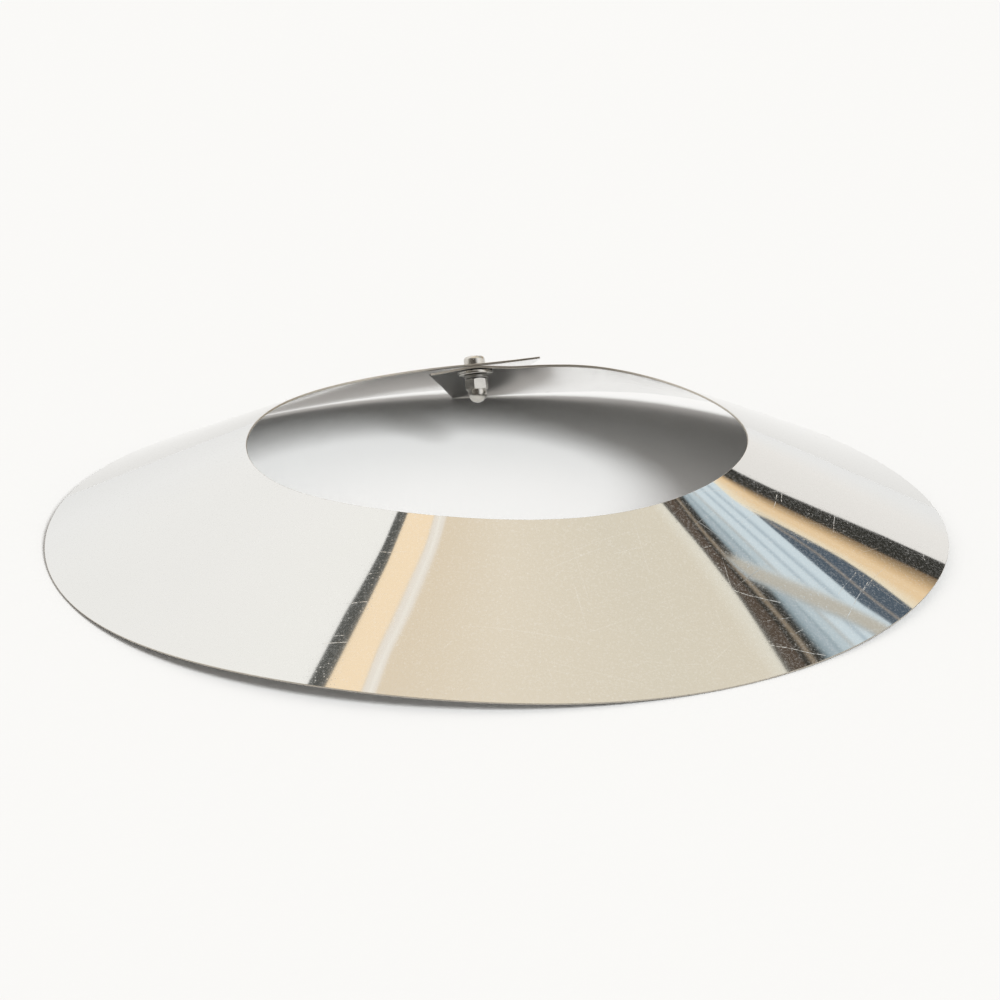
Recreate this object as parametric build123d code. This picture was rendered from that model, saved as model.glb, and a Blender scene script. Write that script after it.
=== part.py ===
from build123d import *
from math import asin, atan2, ceil, cos, degrees, radians, sin, tan
import os

# Split cone ring of thin bright sheet, in millimetres and degrees. It lies on its wide rim on
# z = 0, with Z along the middle of the pipe hole. Azimuths run counter-clockwise from +X, seen
# from above.
hole_radius = 63.5
rim_radius = 115.0
rise = 26.0
sheet = 0.5

# The rolled sheet is a little out of true: its slope swings round the axis, each wave steepest at
# the azimuth given. The first leans it, the second is a saddle, the others are slow ripples.
lean_swing = 0.38
lean_azimuth = -142.0
saddle_swing = 0.49
saddle_azimuth = -29.0
third_swing = 0.22
third_azimuth = 71.6
fourth_swing = 0.43
fourth_azimuth = 26.0

# The hole dips at the lap, which flattens the sheet there and steepens it opposite
hole_dip = 1.75
dip_azimuth = 108.4

# The two ends lap at the back. Places along the sheet are degrees of turn, clockwise from the
# inner-rim corner of its inner end. That end is tucked under, and opens towards the wide rim and
# on both sides of the screw, which pinches the laps together. The last of the outer end, which the
# rolls didn't reach, is straight.
start_azimuth = 106.0
overlap = 26.5
lap_gap = 0.92
pinch_gap = 0.1
pinch_run = 11.0
rim_spread = 1.1
tuck_level = 12.0
tuck_run = 32.0
straight_run = 17.5
end_cut_angle = 20.0
corner_trim = 1.0

# Pan-head machine screw through both laps, with a cross recess. Its place is along the inner end.
screw_place = 11.4
screw_inset = 5.0
screw_diameter = 3.0
screw_length = 6.0
screw_point = 0.4
head_diameter = 5.6
head_height = 2.4
head_round = 0.9
recess_span = 3.0
recess_width = 0.9
recess_depth = 1.5
recess_taper = 12.0
sheet_hole = 3.4

# Flat washer, split spring washer and cap nut, in that order, on the inner side
washer_diameter = 9.0
washer_hole = 3.2
washer_thickness = 0.8
washer_edge = 0.1
spring_diameter = 6.2
spring_hole = 3.1
spring_thickness = 0.8
spring_height = 1.15
spring_slit = 14.0
nut_sides = 6
nut_across_flats = 5.5
nut_hex_height = 2.9
nut_height = 6.3
nut_dome_diameter = 5.0
nut_bevel_angle = 30.0
nut_bore_depth = 4.6
nut_turn = 15.0
drill_angle = 118.0

# Clearances
seat_clearance = 0.02
thread_clearance = 0.05

# Bands that each skin of the sheet is laid in between its rims, the spacing of the points that its
# curves and the coil's pass through, and that of the points that find a seat
skin_bands = 4
sheet_step = 6.0
tip_step = 2.5
coil_step = 30.0
seat_step = 15.0
rim_step = 1.0
feeler = 1.0

full_turn = 360.0
sheet_turn = full_turn + overlap
mean_slope = atan2(rise, rim_radius - hole_radius)
hole_reach = hole_radius / cos(mean_slope)
rim_reach = rim_radius / cos(mean_slope)
screw_reach = hole_reach + screw_inset
corner_reach = hole_reach + corner_trim
end_cut = radians(end_cut_angle)
cut_turn = end_cut - asin(corner_reach * sin(end_cut) / rim_reach)
waves = (
    (1, lean_swing, lean_azimuth),
    (2, saddle_swing, saddle_azimuth),
    (3, third_swing, third_azimuth),
    (4, fourth_swing, fourth_azimuth),
)


def rolled_slope(azimuth):
    """Fall of the rolled sheet below the horizontal, and its rate of change round the axis."""
    slope, rate = mean_slope, 0.0
    for count, swing, steepest in waves:
        phase = count * (azimuth - radians(steepest))
        slope += radians(swing) * cos(phase)
        rate -= count * radians(swing) * sin(phase)
    return slope, rate


def sheet_frame(place):
    """The rim end of the sheet's straight line at a place, the way down it, and the outward normal."""
    azimuth = radians(start_azimuth - place)
    rolled_to = max(azimuth, radians(start_azimuth - sheet_turn + straight_run))
    slope, rate = rolled_slope(rolled_to)
    past = azimuth - rolled_to
    fall, fall_rate = tan(slope), rate / cos(slope) ** 2
    slope = atan2(fall * cos(past) + fall_rate * sin(past), 1)
    rate = (fall_rate * cos(past) - fall * sin(past)) * cos(slope) ** 2
    outwards = Vector(cos(azimuth), sin(azimuth), 0)
    round_axis = Vector(-sin(azimuth), cos(azimuth), 0)
    down = outwards * cos(slope) - Vector(0, 0, sin(slope))
    down_rate = round_axis * cos(slope) - (outwards * sin(slope) + Vector(0, 0, cos(slope))) * rate
    outward = down.cross(down_rate).normalized()
    dip = -hole_dip * cos(azimuth - radians(dip_azimuth))
    hinge = Axis((0, 0, 0), tuple(round_axis))
    return down * rim_reach, down.rotate(hinge, dip), outward.rotate(hinge, dip)


def eased(share):
    """Smooth step from 0 to 1 as a share runs from 0 to 1."""
    share = min(max(share, 0.0), 1.0)
    return share * share * (3 - 2 * share)


def tuck(place, reach):
    """How far the inner end lies under the line of the outer one, at a reach from the apex."""
    outwards = (reach - hole_reach) / (rim_reach - hole_reach)
    pinch = (1 - eased(abs(place - screw_place) / pinch_run)) * (1 - outwards)
    gap = lap_gap - (lap_gap - pinch_gap) * pinch + rim_spread * outwards
    return eased((tuck_level + tuck_run - place) / tuck_run) * (sheet + gap)


def from_apex(place, reach, depth):
    """A point of the sheet, from the apex of the cone, at a depth below its outer skin."""
    rim_end, down, outward = sheet_frame(place)
    return rim_end + down * (reach - rim_reach) - outward * (tuck(place, reach) + depth)


def skin_normal(place, reach):
    """Outward normal of the sheet as it lies there, tucked or not."""
    here = from_apex(place, reach, 0)
    further = from_apex(place, reach + feeler, 0)
    aside = from_apex(place - degrees(feeler / reach), reach, 0)
    return (further - here).cross(aside - here).normalized()


def far_reach(place):
    """How far from the apex the sheet reaches at a place, cut slanting at both ends."""
    turned = radians(min(place, sheet_turn - place)) * cos(mean_slope)
    if turned >= cut_turn:
        return rim_reach
    return corner_reach * sin(end_cut) / sin(end_cut - turned)


def spread(first, last, count):
    """Even values from first to last, with a count of steps between them."""
    return [first + (last - first) * index / count for index in range(count + 1)]


def places(first, last, step):
    """Even values from first to last, no more than a step apart."""
    return spread(first, last, ceil((last - first) / step))


def ruled_faces(stations, sections):
    """The long faces of a bar whose cornered section changes along it."""
    edges = [Edge.make_spline(list(line), parameters=stations) for line in zip(*sections)]
    return [Face.make_surface_from_curves(edges[side - 1], edge) for side, edge in enumerate(edges)]


def end_face(section):
    """Flat end of such a bar."""
    return Face(Wire.make_polygon(section, close=True))


def sheet_section(place):
    """Section of the sheet at a place: down the outer skin from the hole and back up the inner one."""
    reaches = spread(hole_reach, far_reach(place), skin_bands)
    outer_skin = [apex + from_apex(place, reach, 0) for reach in reaches]
    inner_skin = [apex + from_apex(place, reach, sheet) for reach in reversed(reaches)]
    return outer_skin + inner_skin


def rosette_sheet():
    """The cone ring in one sheet: a pointed inner end, the full width, and a pointed outer end."""
    tip_turn = degrees(cut_turn) / cos(mean_slope)
    pinch_end = screw_place + pinch_run
    stretches = (
        places(0.0, tip_turn, tip_step),
        places(tip_turn, pinch_end, tip_step),
        places(pinch_end, sheet_turn - tip_turn, sheet_step),
        places(sheet_turn - tip_turn, sheet_turn, tip_step),
    )
    faces = [end_face(sheet_section(0.0)), end_face(sheet_section(sheet_turn))]
    for stations in stretches:
        faces += ruled_faces(stations, [sheet_section(place) for place in stations])
    drill = Cylinder(sheet_hole / 2, 2 * screw_length)
    return Solid(Shell(faces)) - screw_frame.location * drill


def seat_heights(place, depth, radius):
    """Heights, along the screw, of a skin of the sheet on a circle round the screw."""
    heights = []
    for bearing in places(0.0, full_turn, seat_step):
        aside = degrees(radius * cos(radians(bearing)) / (screw_reach * cos(mean_slope)))
        reach = screw_reach + radius * sin(radians(bearing))
        point = apex + from_apex(place + aside, reach, depth)
        heights.append((point - screw_frame.origin).dot(screw_frame.z_dir))
    return heights


def lap_screw():
    """The screw, with the seat of its head on z = 0 and its point downwards."""
    head_radius, shank_radius = head_diameter / 2, screw_diameter / 2
    with BuildPart() as screw:
        with BuildSketch(Plane.XZ):
            with BuildLine():
                Polyline(
                    (head_radius - head_round, head_height),
                    (0, head_height),
                    (0, -screw_length),
                    (shank_radius - screw_point, -screw_length),
                    (shank_radius, screw_point - screw_length),
                    (shank_radius, 0),
                    (head_radius, 0),
                    (head_radius, head_height - head_round),
                )
                CenterArc((head_radius - head_round, head_height - head_round), head_round, 0, 90)
            make_face()
        revolve(axis=Axis.Z)
        with BuildSketch(Plane.XY.offset(head_height)):
            Rectangle(recess_span, recess_width)
            Rectangle(recess_width, recess_span)
        extrude(amount=-recess_depth, taper=recess_taper, mode=Mode.SUBTRACT)
    return screw.part


def flat_washer():
    """The flat washer, with its upper face on z = 0."""
    with BuildPart() as washer:
        with BuildSketch():
            Circle(washer_diameter / 2)
            Circle(washer_hole / 2, mode=Mode.SUBTRACT)
        extrude(amount=-washer_thickness)
        chamfer(washer.edges().group_by(SortBy.LENGTH)[-1], washer_edge)
    return washer.part


def spring_washer():
    """The split washer, one open coil, with its highest corner on z = 0."""
    stations = places(spring_slit, full_turn, coil_step)
    corners = (
        (spring_hole / 2, 0),
        (spring_diameter / 2, 0),
        (spring_diameter / 2, -spring_thickness),
        (spring_hole / 2, -spring_thickness),
    )
    sections = []
    for bearing in stations:
        lower = (spring_thickness - spring_height) * (bearing - spring_slit) / (full_turn - spring_slit)
        side = Vector(cos(radians(bearing)), sin(radians(bearing)), 0)
        sections.append([side * radius + Vector(0, 0, lower + height) for radius, height in corners])
    ends = [end_face(sections[0]), end_face(sections[-1])]
    return Solid(Shell(ruled_faces(stations, sections) + ends))


def cap_nut():
    """The hexagon cap nut, with its bearing face on z = 0 and its dome downwards."""
    flat_radius, dome_radius = nut_across_flats / 2, nut_dome_diameter / 2
    corner_radius = flat_radius / cos(radians(full_turn / nut_sides / 2))
    bevel = (corner_radius - flat_radius) * tan(radians(nut_bevel_angle))
    bore_radius = screw_diameter / 2 + thread_clearance
    drill_depth = nut_bore_depth + bore_radius / tan(radians(drill_angle / 2))
    with BuildPart() as nut:
        with BuildSketch():
            RegularPolygon(flat_radius, nut_sides, major_radius=False, rotation=nut_turn)
        extrude(amount=-nut_hex_height)
        with BuildSketch(Plane.XZ):
            Polygon(
                (0, 0),
                (flat_radius, 0),
                (corner_radius, -bevel),
                (corner_radius, bevel - nut_hex_height),
                (flat_radius, -nut_hex_height),
                (0, -nut_hex_height),
                align=None,
            )
        revolve(axis=Axis.Z, mode=Mode.INTERSECT)
        with BuildSketch(Plane.XZ):
            with BuildLine():
                Polyline((0, -nut_height), (0, 0), (dome_radius, 0), (dome_radius, dome_radius - nut_height))
                CenterArc((0, dome_radius - nut_height), dome_radius, -90, 90)
            make_face()
        revolve(axis=Axis.Z)
        with BuildSketch(Plane.XZ):
            Polygon((0, 0), (bore_radius, 0), (bore_radius, -nut_bore_depth), (0, -drill_depth), align=None)
        revolve(axis=Axis.Z, mode=Mode.SUBTRACT)
    return nut.part


# The apex stands where the lowest place of the wide rim comes down on z = 0
rim_places = places(0.0, sheet_turn, rim_step)
apex = Vector(0, 0, -min(from_apex(place, far_reach(place), sheet).Z for place in rim_places))

# The screw stands on the outer lap, square to the mean of the two laps
outer_place = screw_place + full_turn
screw_frame = Plane(
    origin=apex + from_apex(outer_place, screw_reach, 0),
    x_dir=sheet_frame(screw_place)[1],
    z_dir=skin_normal(screw_place, screw_reach) + skin_normal(outer_place, screw_reach),
)
head_seat = max(seat_heights(outer_place, 0, head_diameter / 2)) + seat_clearance
washer_seat = min(seat_heights(screw_place, sheet, washer_diameter / 2)) - seat_clearance
spring_seat = washer_seat - washer_thickness - seat_clearance
nut_seat = spring_seat - spring_height - seat_clearance

nodes = {
    "rosette_sheet": rosette_sheet(),
    "lap_screw": screw_frame.location * Pos(0, 0, head_seat) * lap_screw(),
    "flat_washer": screw_frame.location * Pos(0, 0, washer_seat) * flat_washer(),
    "spring_washer": screw_frame.location * Pos(0, 0, spring_seat) * spring_washer(),
    "cap_nut": screw_frame.location * Pos(0, 0, nut_seat) * cap_nut(),
}

os.makedirs("parts", exist_ok=True)
for name, solid in nodes.items():
    export_step(solid, f"parts/{name}.step")
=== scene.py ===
from functools import reduce
from math import asin, atan2, ceil, cos, degrees, pi, radians, sin, sqrt, tan

import bmesh
import bpy
from mathutils import Matrix, Vector


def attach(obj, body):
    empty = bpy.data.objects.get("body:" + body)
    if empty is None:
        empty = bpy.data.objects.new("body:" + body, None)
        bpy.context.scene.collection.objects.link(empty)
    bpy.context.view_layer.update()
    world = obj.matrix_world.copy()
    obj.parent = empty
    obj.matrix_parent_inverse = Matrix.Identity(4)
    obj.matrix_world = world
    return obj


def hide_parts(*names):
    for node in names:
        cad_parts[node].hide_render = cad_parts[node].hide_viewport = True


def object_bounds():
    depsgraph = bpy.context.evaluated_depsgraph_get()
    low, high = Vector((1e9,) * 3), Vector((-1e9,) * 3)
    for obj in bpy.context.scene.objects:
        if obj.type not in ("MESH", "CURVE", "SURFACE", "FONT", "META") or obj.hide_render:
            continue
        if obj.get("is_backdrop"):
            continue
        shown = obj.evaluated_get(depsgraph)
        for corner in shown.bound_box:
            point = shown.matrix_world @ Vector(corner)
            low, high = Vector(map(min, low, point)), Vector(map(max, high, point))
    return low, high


bl_info = {
    "name": "Ceiling Rosette",
    "version": (1, 0, 0),
    "blender": (4, 5, 0),
    "location": "3D View > Sidebar > Rosette",
    "description": "Dresses the packed ceiling rosette: bright sheet, screw, washers, nut and studio",
    "category": "Object",
}

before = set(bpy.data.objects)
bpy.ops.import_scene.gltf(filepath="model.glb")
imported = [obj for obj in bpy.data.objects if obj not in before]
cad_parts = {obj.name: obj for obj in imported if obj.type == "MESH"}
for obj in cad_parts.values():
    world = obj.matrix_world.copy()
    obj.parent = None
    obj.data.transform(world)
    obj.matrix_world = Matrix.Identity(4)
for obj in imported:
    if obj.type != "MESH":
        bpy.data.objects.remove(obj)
cad_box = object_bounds()


def in_metres(name, description, default):
    """A length among the settings."""
    return bpy.props.FloatProperty(
        name=name, description=description, default=default, unit="LENGTH", precision=5)


def in_degrees(name, description, default):
    """An angle among the settings, its default given in degrees."""
    return bpy.props.FloatProperty(
        name=name, description=description, default=radians(default), subtype="ANGLE", unit="ROTATION")


def as_share(name, description, default):
    """A number from 0 to 1 among the settings."""
    return bpy.props.FloatProperty(name=name, description=description, default=default, min=0, max=1)


def as_colour(name, description, default, most=1):
    """A colour among the settings, no part of it over the most."""
    return bpy.props.FloatVectorProperty(
        name=name, description=description, default=default, size=3, subtype="COLOR", min=0, max=most)


class SheetSizes(bpy.types.PropertyGroup):
    """Sizes of the rolled sheet, the same as the solid has."""

    hole_radius: in_metres(
        "Hole radius", "Radius of the pipe hole, before the sheet's warp", 0.0635)
    rim_radius: in_metres("Rim radius", "Radius of the wide rim, before the sheet's warp", 0.115)
    rise: in_metres("Rise", "Height of the hole's rim above the wide rim", 0.026)
    thickness: in_metres("Thickness", "Thickness of the sheet", 0.0005)
    edge_round: in_metres("Edge rounding", "Rounding of the sheared edges", 0.00009)
    hole_dip: in_degrees("Hole dip", "How much flatter the sheet is where the hole dips", 1.75)
    dip_azimuth: in_degrees("Dip azimuth", "Azimuth where the hole dips", 108.4)
    start_azimuth: in_degrees(
        "Start azimuth", "Azimuth of the inner end's corner, counter-clockwise from +X", 106)
    overlap: in_degrees("Overlap", "Turn by which the two ends lap", 26.5)
    lap_gap: in_metres(
        "Lap gap", "Gap between the laps at the hole's rim, away from the screw", 0.00092)
    pinch_gap: in_metres("Pinch gap", "Gap between the laps at the screw", 0.0001)
    pinch_run: in_degrees(
        "Pinch run", "Turn over which the laps open, on each side of the screw", 11)
    rim_spread: in_metres(
        "Rim spread", "How much more the laps stand apart at the wide rim", 0.0011)
    tuck_level: in_degrees("Tuck level", "Turn over which the inner end lies fully tucked", 12)
    tuck_run: in_degrees("Tuck run", "Turn over which the tuck fades out", 32)
    straight_run: in_degrees(
        "Straight run", "Turn at the outer end that the rolls left straight", 17.5)
    end_cut: in_degrees("End cut", "Slant of the cut at both ends", 20)
    corner_trim: in_metres("Corner trim", "Length of the square corner at both ends", 0.001)
    screw_place: in_degrees("Screw place", "Turn from the inner end's corner to the screw", 11.4)
    screw_inset: in_metres("Screw inset", "Distance of the screw from the hole's rim", 0.005)
    screw_hole: in_metres("Screw hole", "Diameter of the screw holes in the sheet", 0.0034)


class SheetFinish(bpy.types.PropertyGroup):
    """Finish of the bright sheet and of its sheared edges."""

    tint: as_colour("Sheet tint", "Reflectance of the bright sheet, face on", (0.69, 0.686, 0.672))
    roughness: as_share(
        "Sheet roughness", "Roughness of the bright sheet where nothing has scratched it", 0.035)
    edge_tint: as_colour("Edge tint", "Reflectance of the sheared edges", (0.50, 0.46, 0.40))
    wave_height: in_metres(
        "Wave height", "Height of the long waves that rolling left in the sheet", 0.00006)
    hairlines: as_share("Hairlines", "Strength of the fine hairlines", 0.25)
    specks: as_share("Specks", "Strength of the small specks", 0.32)
    scratches: as_share("Scratches", "Strength of the handling scratches", 0.75)
    scratch_width: in_metres("Scratch width", "Width of the handling scratches", 0.00012)


class FastenerSizes(bpy.types.PropertyGroup):
    """Sizes of the lap screw, washers and cap nut, the same as the solids have."""

    screw_diameter: in_metres("Screw diameter", "Outer diameter of the thread", 0.003)
    screw_length: in_metres("Screw length", "Length under the head", 0.006)
    thread_pitch: in_metres("Thread pitch", "Pitch of the thread", 0.0005)
    head_diameter: in_metres("Head diameter", "Diameter of the pan head", 0.0056)
    head_height: in_metres("Head height", "Height of the pan head", 0.0024)
    head_round: in_metres("Head rounding", "Rounding of the pan head's shoulder", 0.0009)
    recess_span: in_metres("Recess span", "Length of the cross recess", 0.003)
    recess_width: in_metres("Recess width", "Width of the cross recess", 0.0009)
    recess_depth: in_metres("Recess depth", "Depth of the cross recess", 0.0015)
    washer_diameter: in_metres("Washer diameter", "Outer diameter of the flat washer", 0.009)
    washer_hole: in_metres("Washer hole", "Hole of the flat washer", 0.0032)
    washer_thickness: in_metres("Washer thickness", "Thickness of the flat washer", 0.0008)
    spring_diameter: in_metres(
        "Spring washer diameter", "Outer diameter of the split washer", 0.0062)
    spring_hole: in_metres("Spring washer hole", "Hole of the split washer", 0.0031)
    spring_thickness: in_metres(
        "Spring washer thickness", "Thickness of the split washer's wire", 0.0008)
    spring_height: in_metres(
        "Spring washer height", "Height of the split washer as it is tightened", 0.00115)
    spring_slit: in_degrees("Spring washer slit", "Turn that the split takes", 14)
    nut_across_flats: in_metres("Nut across flats", "Width of the cap nut across its flats", 0.0055)
    nut_hex_height: in_metres("Nut hexagon height", "Height of the cap nut's hexagon", 0.0029)
    nut_height: in_metres("Nut height", "Height of the cap nut over its dome", 0.0063)
    nut_bore: in_metres(
        "Nut bore", "Depth of the cap nut's bore, without the drill's point", 0.0046)
    nut_dome: in_metres("Nut dome", "Diameter of the cap nut's dome", 0.005)
    nut_bevel: in_degrees("Nut bevel", "Bevel of the hexagon's corners", 30)
    nut_turn: in_degrees(
        "Nut turn", "How far the nut is turned from having a flat towards the rim", 15)
    seat_clearance: in_metres(
        "Seat clearance", "Gap between two pieces that seat on each other", 0.00002)


class FastenerFinish(bpy.types.PropertyGroup):
    """Finishes of the fastener's pieces."""

    plate_tint: as_colour(
        "Plating tint", "Reflectance of the plated screw, flat washer and nut", (0.60, 0.575, 0.53))
    plate_roughness: as_share("Plating roughness", "Roughness of the plated pieces", 0.17)
    spring_tint: as_colour(
        "Spring steel tint", "Reflectance of the split washer", (0.40, 0.385, 0.36))
    spring_roughness: as_share("Spring steel roughness", "Roughness of the split washer", 0.32)


class StudioSettings(bpy.types.PropertyGroup):
    """The pale floor, the lights, the bright room that the sheet mirrors, and the camera."""

    floor_tint: as_colour("Floor tint", "Reflectance of the pale floor", (0.80, 0.80, 0.795))
    fill_strength: as_share("Fill strength", "Strength of the even fill light", 0.57)
    key_strength: bpy.props.FloatProperty(
        name="Key strength", description="Strength of the soft key light",
        default=3.25, min=0)
    key_azimuth: in_degrees(
        "Key azimuth", "Where the key light stands, counter-clockwise from +X", -56)
    key_elevation: in_degrees("Key elevation", "How high the key light stands", 37)
    key_size: in_degrees("Key size", "Apparent width of the key light's soft box", 22)
    key_tint: as_colour("Key tint", "Colour of the soft key light", (0.985, 1.005, 1.015), most=2)
    fill_tint: as_colour(
        "Fill tint", "Colour of the even fill light, warmer than the key",
        (1.03, 0.99, 0.95), most=2)
    room_radius: in_metres("Room radius", "Radius of the bright tent over the table", 4.0)
    card_radius: in_metres("Card radius", "Distance of the cards that the sheet mirrors", 0.95)
    look_height: in_metres(
        "Look height", "Height of the middle that the camera turns round", 0.015447)
    aim_right: in_metres("Aim right", "How far right of that middle the camera aims", 0.00137)
    aim_low: in_metres("Aim low", "How far below that middle the camera aims", 0.00369)
    camera_distance: in_metres(
        "Camera distance", "Distance of the camera from the rosette's middle", 1.38)
    camera_elevation: in_degrees("Camera elevation", "How steeply the camera looks down", 19.783)
    camera_roll: in_degrees("Camera roll", "Turn of the camera about its own axis", 0.279)
    camera_lens: bpy.props.FloatProperty(
        name="Lens", description="Focal length on a 36 mm sensor",
        default=195.775, unit="CAMERA")


def clamped(share):
    """A share kept from 0 to 1."""
    return min(max(share, 0.0), 1.0)


def between(stops, at):
    """What two stops round a value hold, and the share of the way from the first to the second."""
    at = min(max(at, stops[0][0]), stops[-1][0])
    for (low, first), (high, second) in zip(stops, stops[1:]):
        if at <= high:
            return first, second, (at - low) / (high - low)


class RolledSheet:
    """The form of the rolled sheet. Places are turns, clockwise from the inner end's corner."""

    # Waves of the slope round the axis: how many, how large, and the azimuth where each is steepest,
    # both in degrees
    waves = ((1, 0.38, -142.0), (2, 0.49, -29.0), (3, 0.22, 71.6), (4, 0.43, 26.0))

    def __init__(self, sizes):
        self.sizes = sizes
        self.turn = 2 * pi + sizes.overlap
        self.slope = atan2(sizes.rise, sizes.rim_radius - sizes.hole_radius)
        self.hole_reach = sizes.hole_radius / cos(self.slope)
        self.rim_reach = sizes.rim_radius / cos(self.slope)
        self.screw_reach = self.hole_reach + sizes.screw_inset
        self.corner_reach = self.hole_reach + sizes.corner_trim
        corner_share = self.corner_reach / self.rim_reach
        self.cut_turn = sizes.end_cut - asin(corner_share * sin(sizes.end_cut))
        self.apex = Vector((0, 0, 0))
        rim = [self.point(place, self.far_reach(place), sizes.thickness)
               for place in self.places(0, self.turn, radians(1))]
        self.apex = Vector((0, 0, -min(point.z for point in rim)))

    @staticmethod
    def places(first, last, step):
        """Even values from first to last, no more than a step apart."""
        rounding_error = 1e-6
        count = ceil((last - first) / step - rounding_error)
        return [first + (last - first) * index / count for index in range(count + 1)]

    def rolled_slope(self, azimuth):
        """Fall of the rolled sheet below the horizontal, and its rate of change round the axis."""
        slope, rate = self.slope, 0.0
        for count, swing, steepest in self.waves:
            phase = count * (azimuth - radians(steepest))
            slope += radians(swing) * cos(phase)
            rate -= count * radians(swing) * sin(phase)
        return slope, rate

    def line(self, place):
        """The rim end of the straight line at a place, the way down it, and the outward normal."""
        sizes = self.sizes
        azimuth = sizes.start_azimuth - place
        rolled_to = max(azimuth, sizes.start_azimuth - self.turn + sizes.straight_run)
        slope, rate = self.rolled_slope(rolled_to)
        past = azimuth - rolled_to
        fall, fall_rate = tan(slope), rate / cos(slope) ** 2
        slope = atan2(fall * cos(past) + fall_rate * sin(past), 1)
        rate = (fall_rate * cos(past) - fall * sin(past)) * cos(slope) ** 2
        outwards = Vector((cos(azimuth), sin(azimuth), 0))
        round_axis = Vector((-sin(azimuth), cos(azimuth), 0))
        down = outwards * cos(slope) - Vector((0, 0, sin(slope)))
        upwards = outwards * sin(slope) + Vector((0, 0, cos(slope)))
        down_rate = round_axis * cos(slope) - upwards * rate
        outward = down.cross(down_rate).normalized()
        dip = Matrix.Rotation(-sizes.hole_dip * cos(azimuth - sizes.dip_azimuth), 3, round_axis)
        return down * self.rim_reach, dip @ down, dip @ outward

    @staticmethod
    def eased(share):
        """Smooth step from 0 to 1 as a share runs from 0 to 1."""
        share = clamped(share)
        return share * share * (3 - 2 * share)

    def tuck(self, place, reach):
        """How far the inner end lies under the line of the outer one."""
        sizes = self.sizes
        outwards = (reach - self.hole_reach) / (self.rim_reach - self.hole_reach)
        pinch = (1 - self.eased(abs(place - sizes.screw_place) / sizes.pinch_run)) * (1 - outwards)
        gap = sizes.lap_gap - (sizes.lap_gap - sizes.pinch_gap) * pinch + sizes.rim_spread * outwards
        fade = self.eased((sizes.tuck_level + sizes.tuck_run - place) / sizes.tuck_run)
        return fade * (sizes.thickness + gap)

    def point(self, place, reach, depth):
        """A point of the sheet, at a depth below its outer skin."""
        rim_end, down, outward = self.line(place)
        down_line = rim_end + down * (reach - self.rim_reach)
        return self.apex + down_line - outward * (self.tuck(place, reach) + depth)

    def normal(self, place, reach):
        """Outward normal of the sheet as it lies there, tucked or not."""
        feeler = 0.001
        here = self.point(place, reach, 0)
        further = self.point(place, reach + feeler, 0)
        aside = self.point(place - feeler / reach, reach, 0)
        return (further - here).cross(aside - here).normalized()

    def far_reach(self, place):
        """How far from the apex the sheet reaches at a place, cut slanting at both ends."""
        end_cut = self.sizes.end_cut
        turned = min(place, self.turn - place) * cos(self.slope)
        if turned >= self.cut_turn:
            return self.rim_reach
        return self.corner_reach * sin(end_cut) / sin(end_cut - turned)

    def screw_frame(self):
        """Where the screw stands: on the outer lap, square to the mean of the two laps."""
        inner_place = self.sizes.screw_place
        outer_place = inner_place + 2 * pi
        normals = [self.normal(place, self.screw_reach) for place in (inner_place, outer_place)]
        axis = (normals[0] + normals[1]).normalized()
        down = self.line(inner_place)[1]
        side = (down - axis * down.dot(axis)).normalized()
        turned = Matrix((side, axis.cross(side), axis)).transposed().to_4x4()
        return Matrix.Translation(self.point(outer_place, self.screw_reach, 0)) @ turned

    def seat_heights(self, place, depth, radius):
        """Heights, along the screw, of a skin of the sheet on a circle round the screw."""
        to_screw = self.screw_frame().inverted()
        heights = []
        for bearing in self.places(0, 2 * pi, radians(15)):
            aside = radius * cos(bearing) / (self.screw_reach * cos(self.slope))
            reach = self.screw_reach + radius * sin(bearing)
            heights.append((to_screw @ self.point(place + aside, reach, depth)).z)
        return heights


class Value:
    """A socket in a finish, to write shader maths with: each operation adds a Math node.

    A bar between two values takes the larger of them.
    """

    def __init__(self, finish, socket):
        self.finish = finish
        self.socket = socket

    def maths(self, operation, first, second, clamp=False):
        """A Math node of two values."""
        settings = {"operation": operation, "use_clamp": clamp}
        return self.finish.value(self.finish.node("ShaderNodeMath", settings, {0: first, 1: second}))

    def __add__(self, other):
        return self.maths("ADD", self, other)

    def __radd__(self, other):
        return self.maths("ADD", other, self)

    def __sub__(self, other):
        return self.maths("SUBTRACT", self, other)

    def __rsub__(self, other):
        return self.maths("SUBTRACT", other, self)

    def __mul__(self, other):
        return self.maths("MULTIPLY", self, other)

    def __rmul__(self, other):
        return self.maths("MULTIPLY", other, self)

    def __or__(self, other):
        return self.maths("MAXIMUM", self, other)

    def __ror__(self, other):
        return self.maths("MAXIMUM", other, self)

    def ramp(self, low, high):
        """0 at low and 1 at high, smooth in between; a high below low turns it round."""
        made = self.finish.node(
            "ShaderNodeMapRange", {"interpolation_type": "SMOOTHSTEP", "clamp": True},
            {"Value": self, "From Min": low, "From Max": high, "To Min": 0.0, "To Max": 1.0})
        return self.finish.value(made, "Result")


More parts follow.
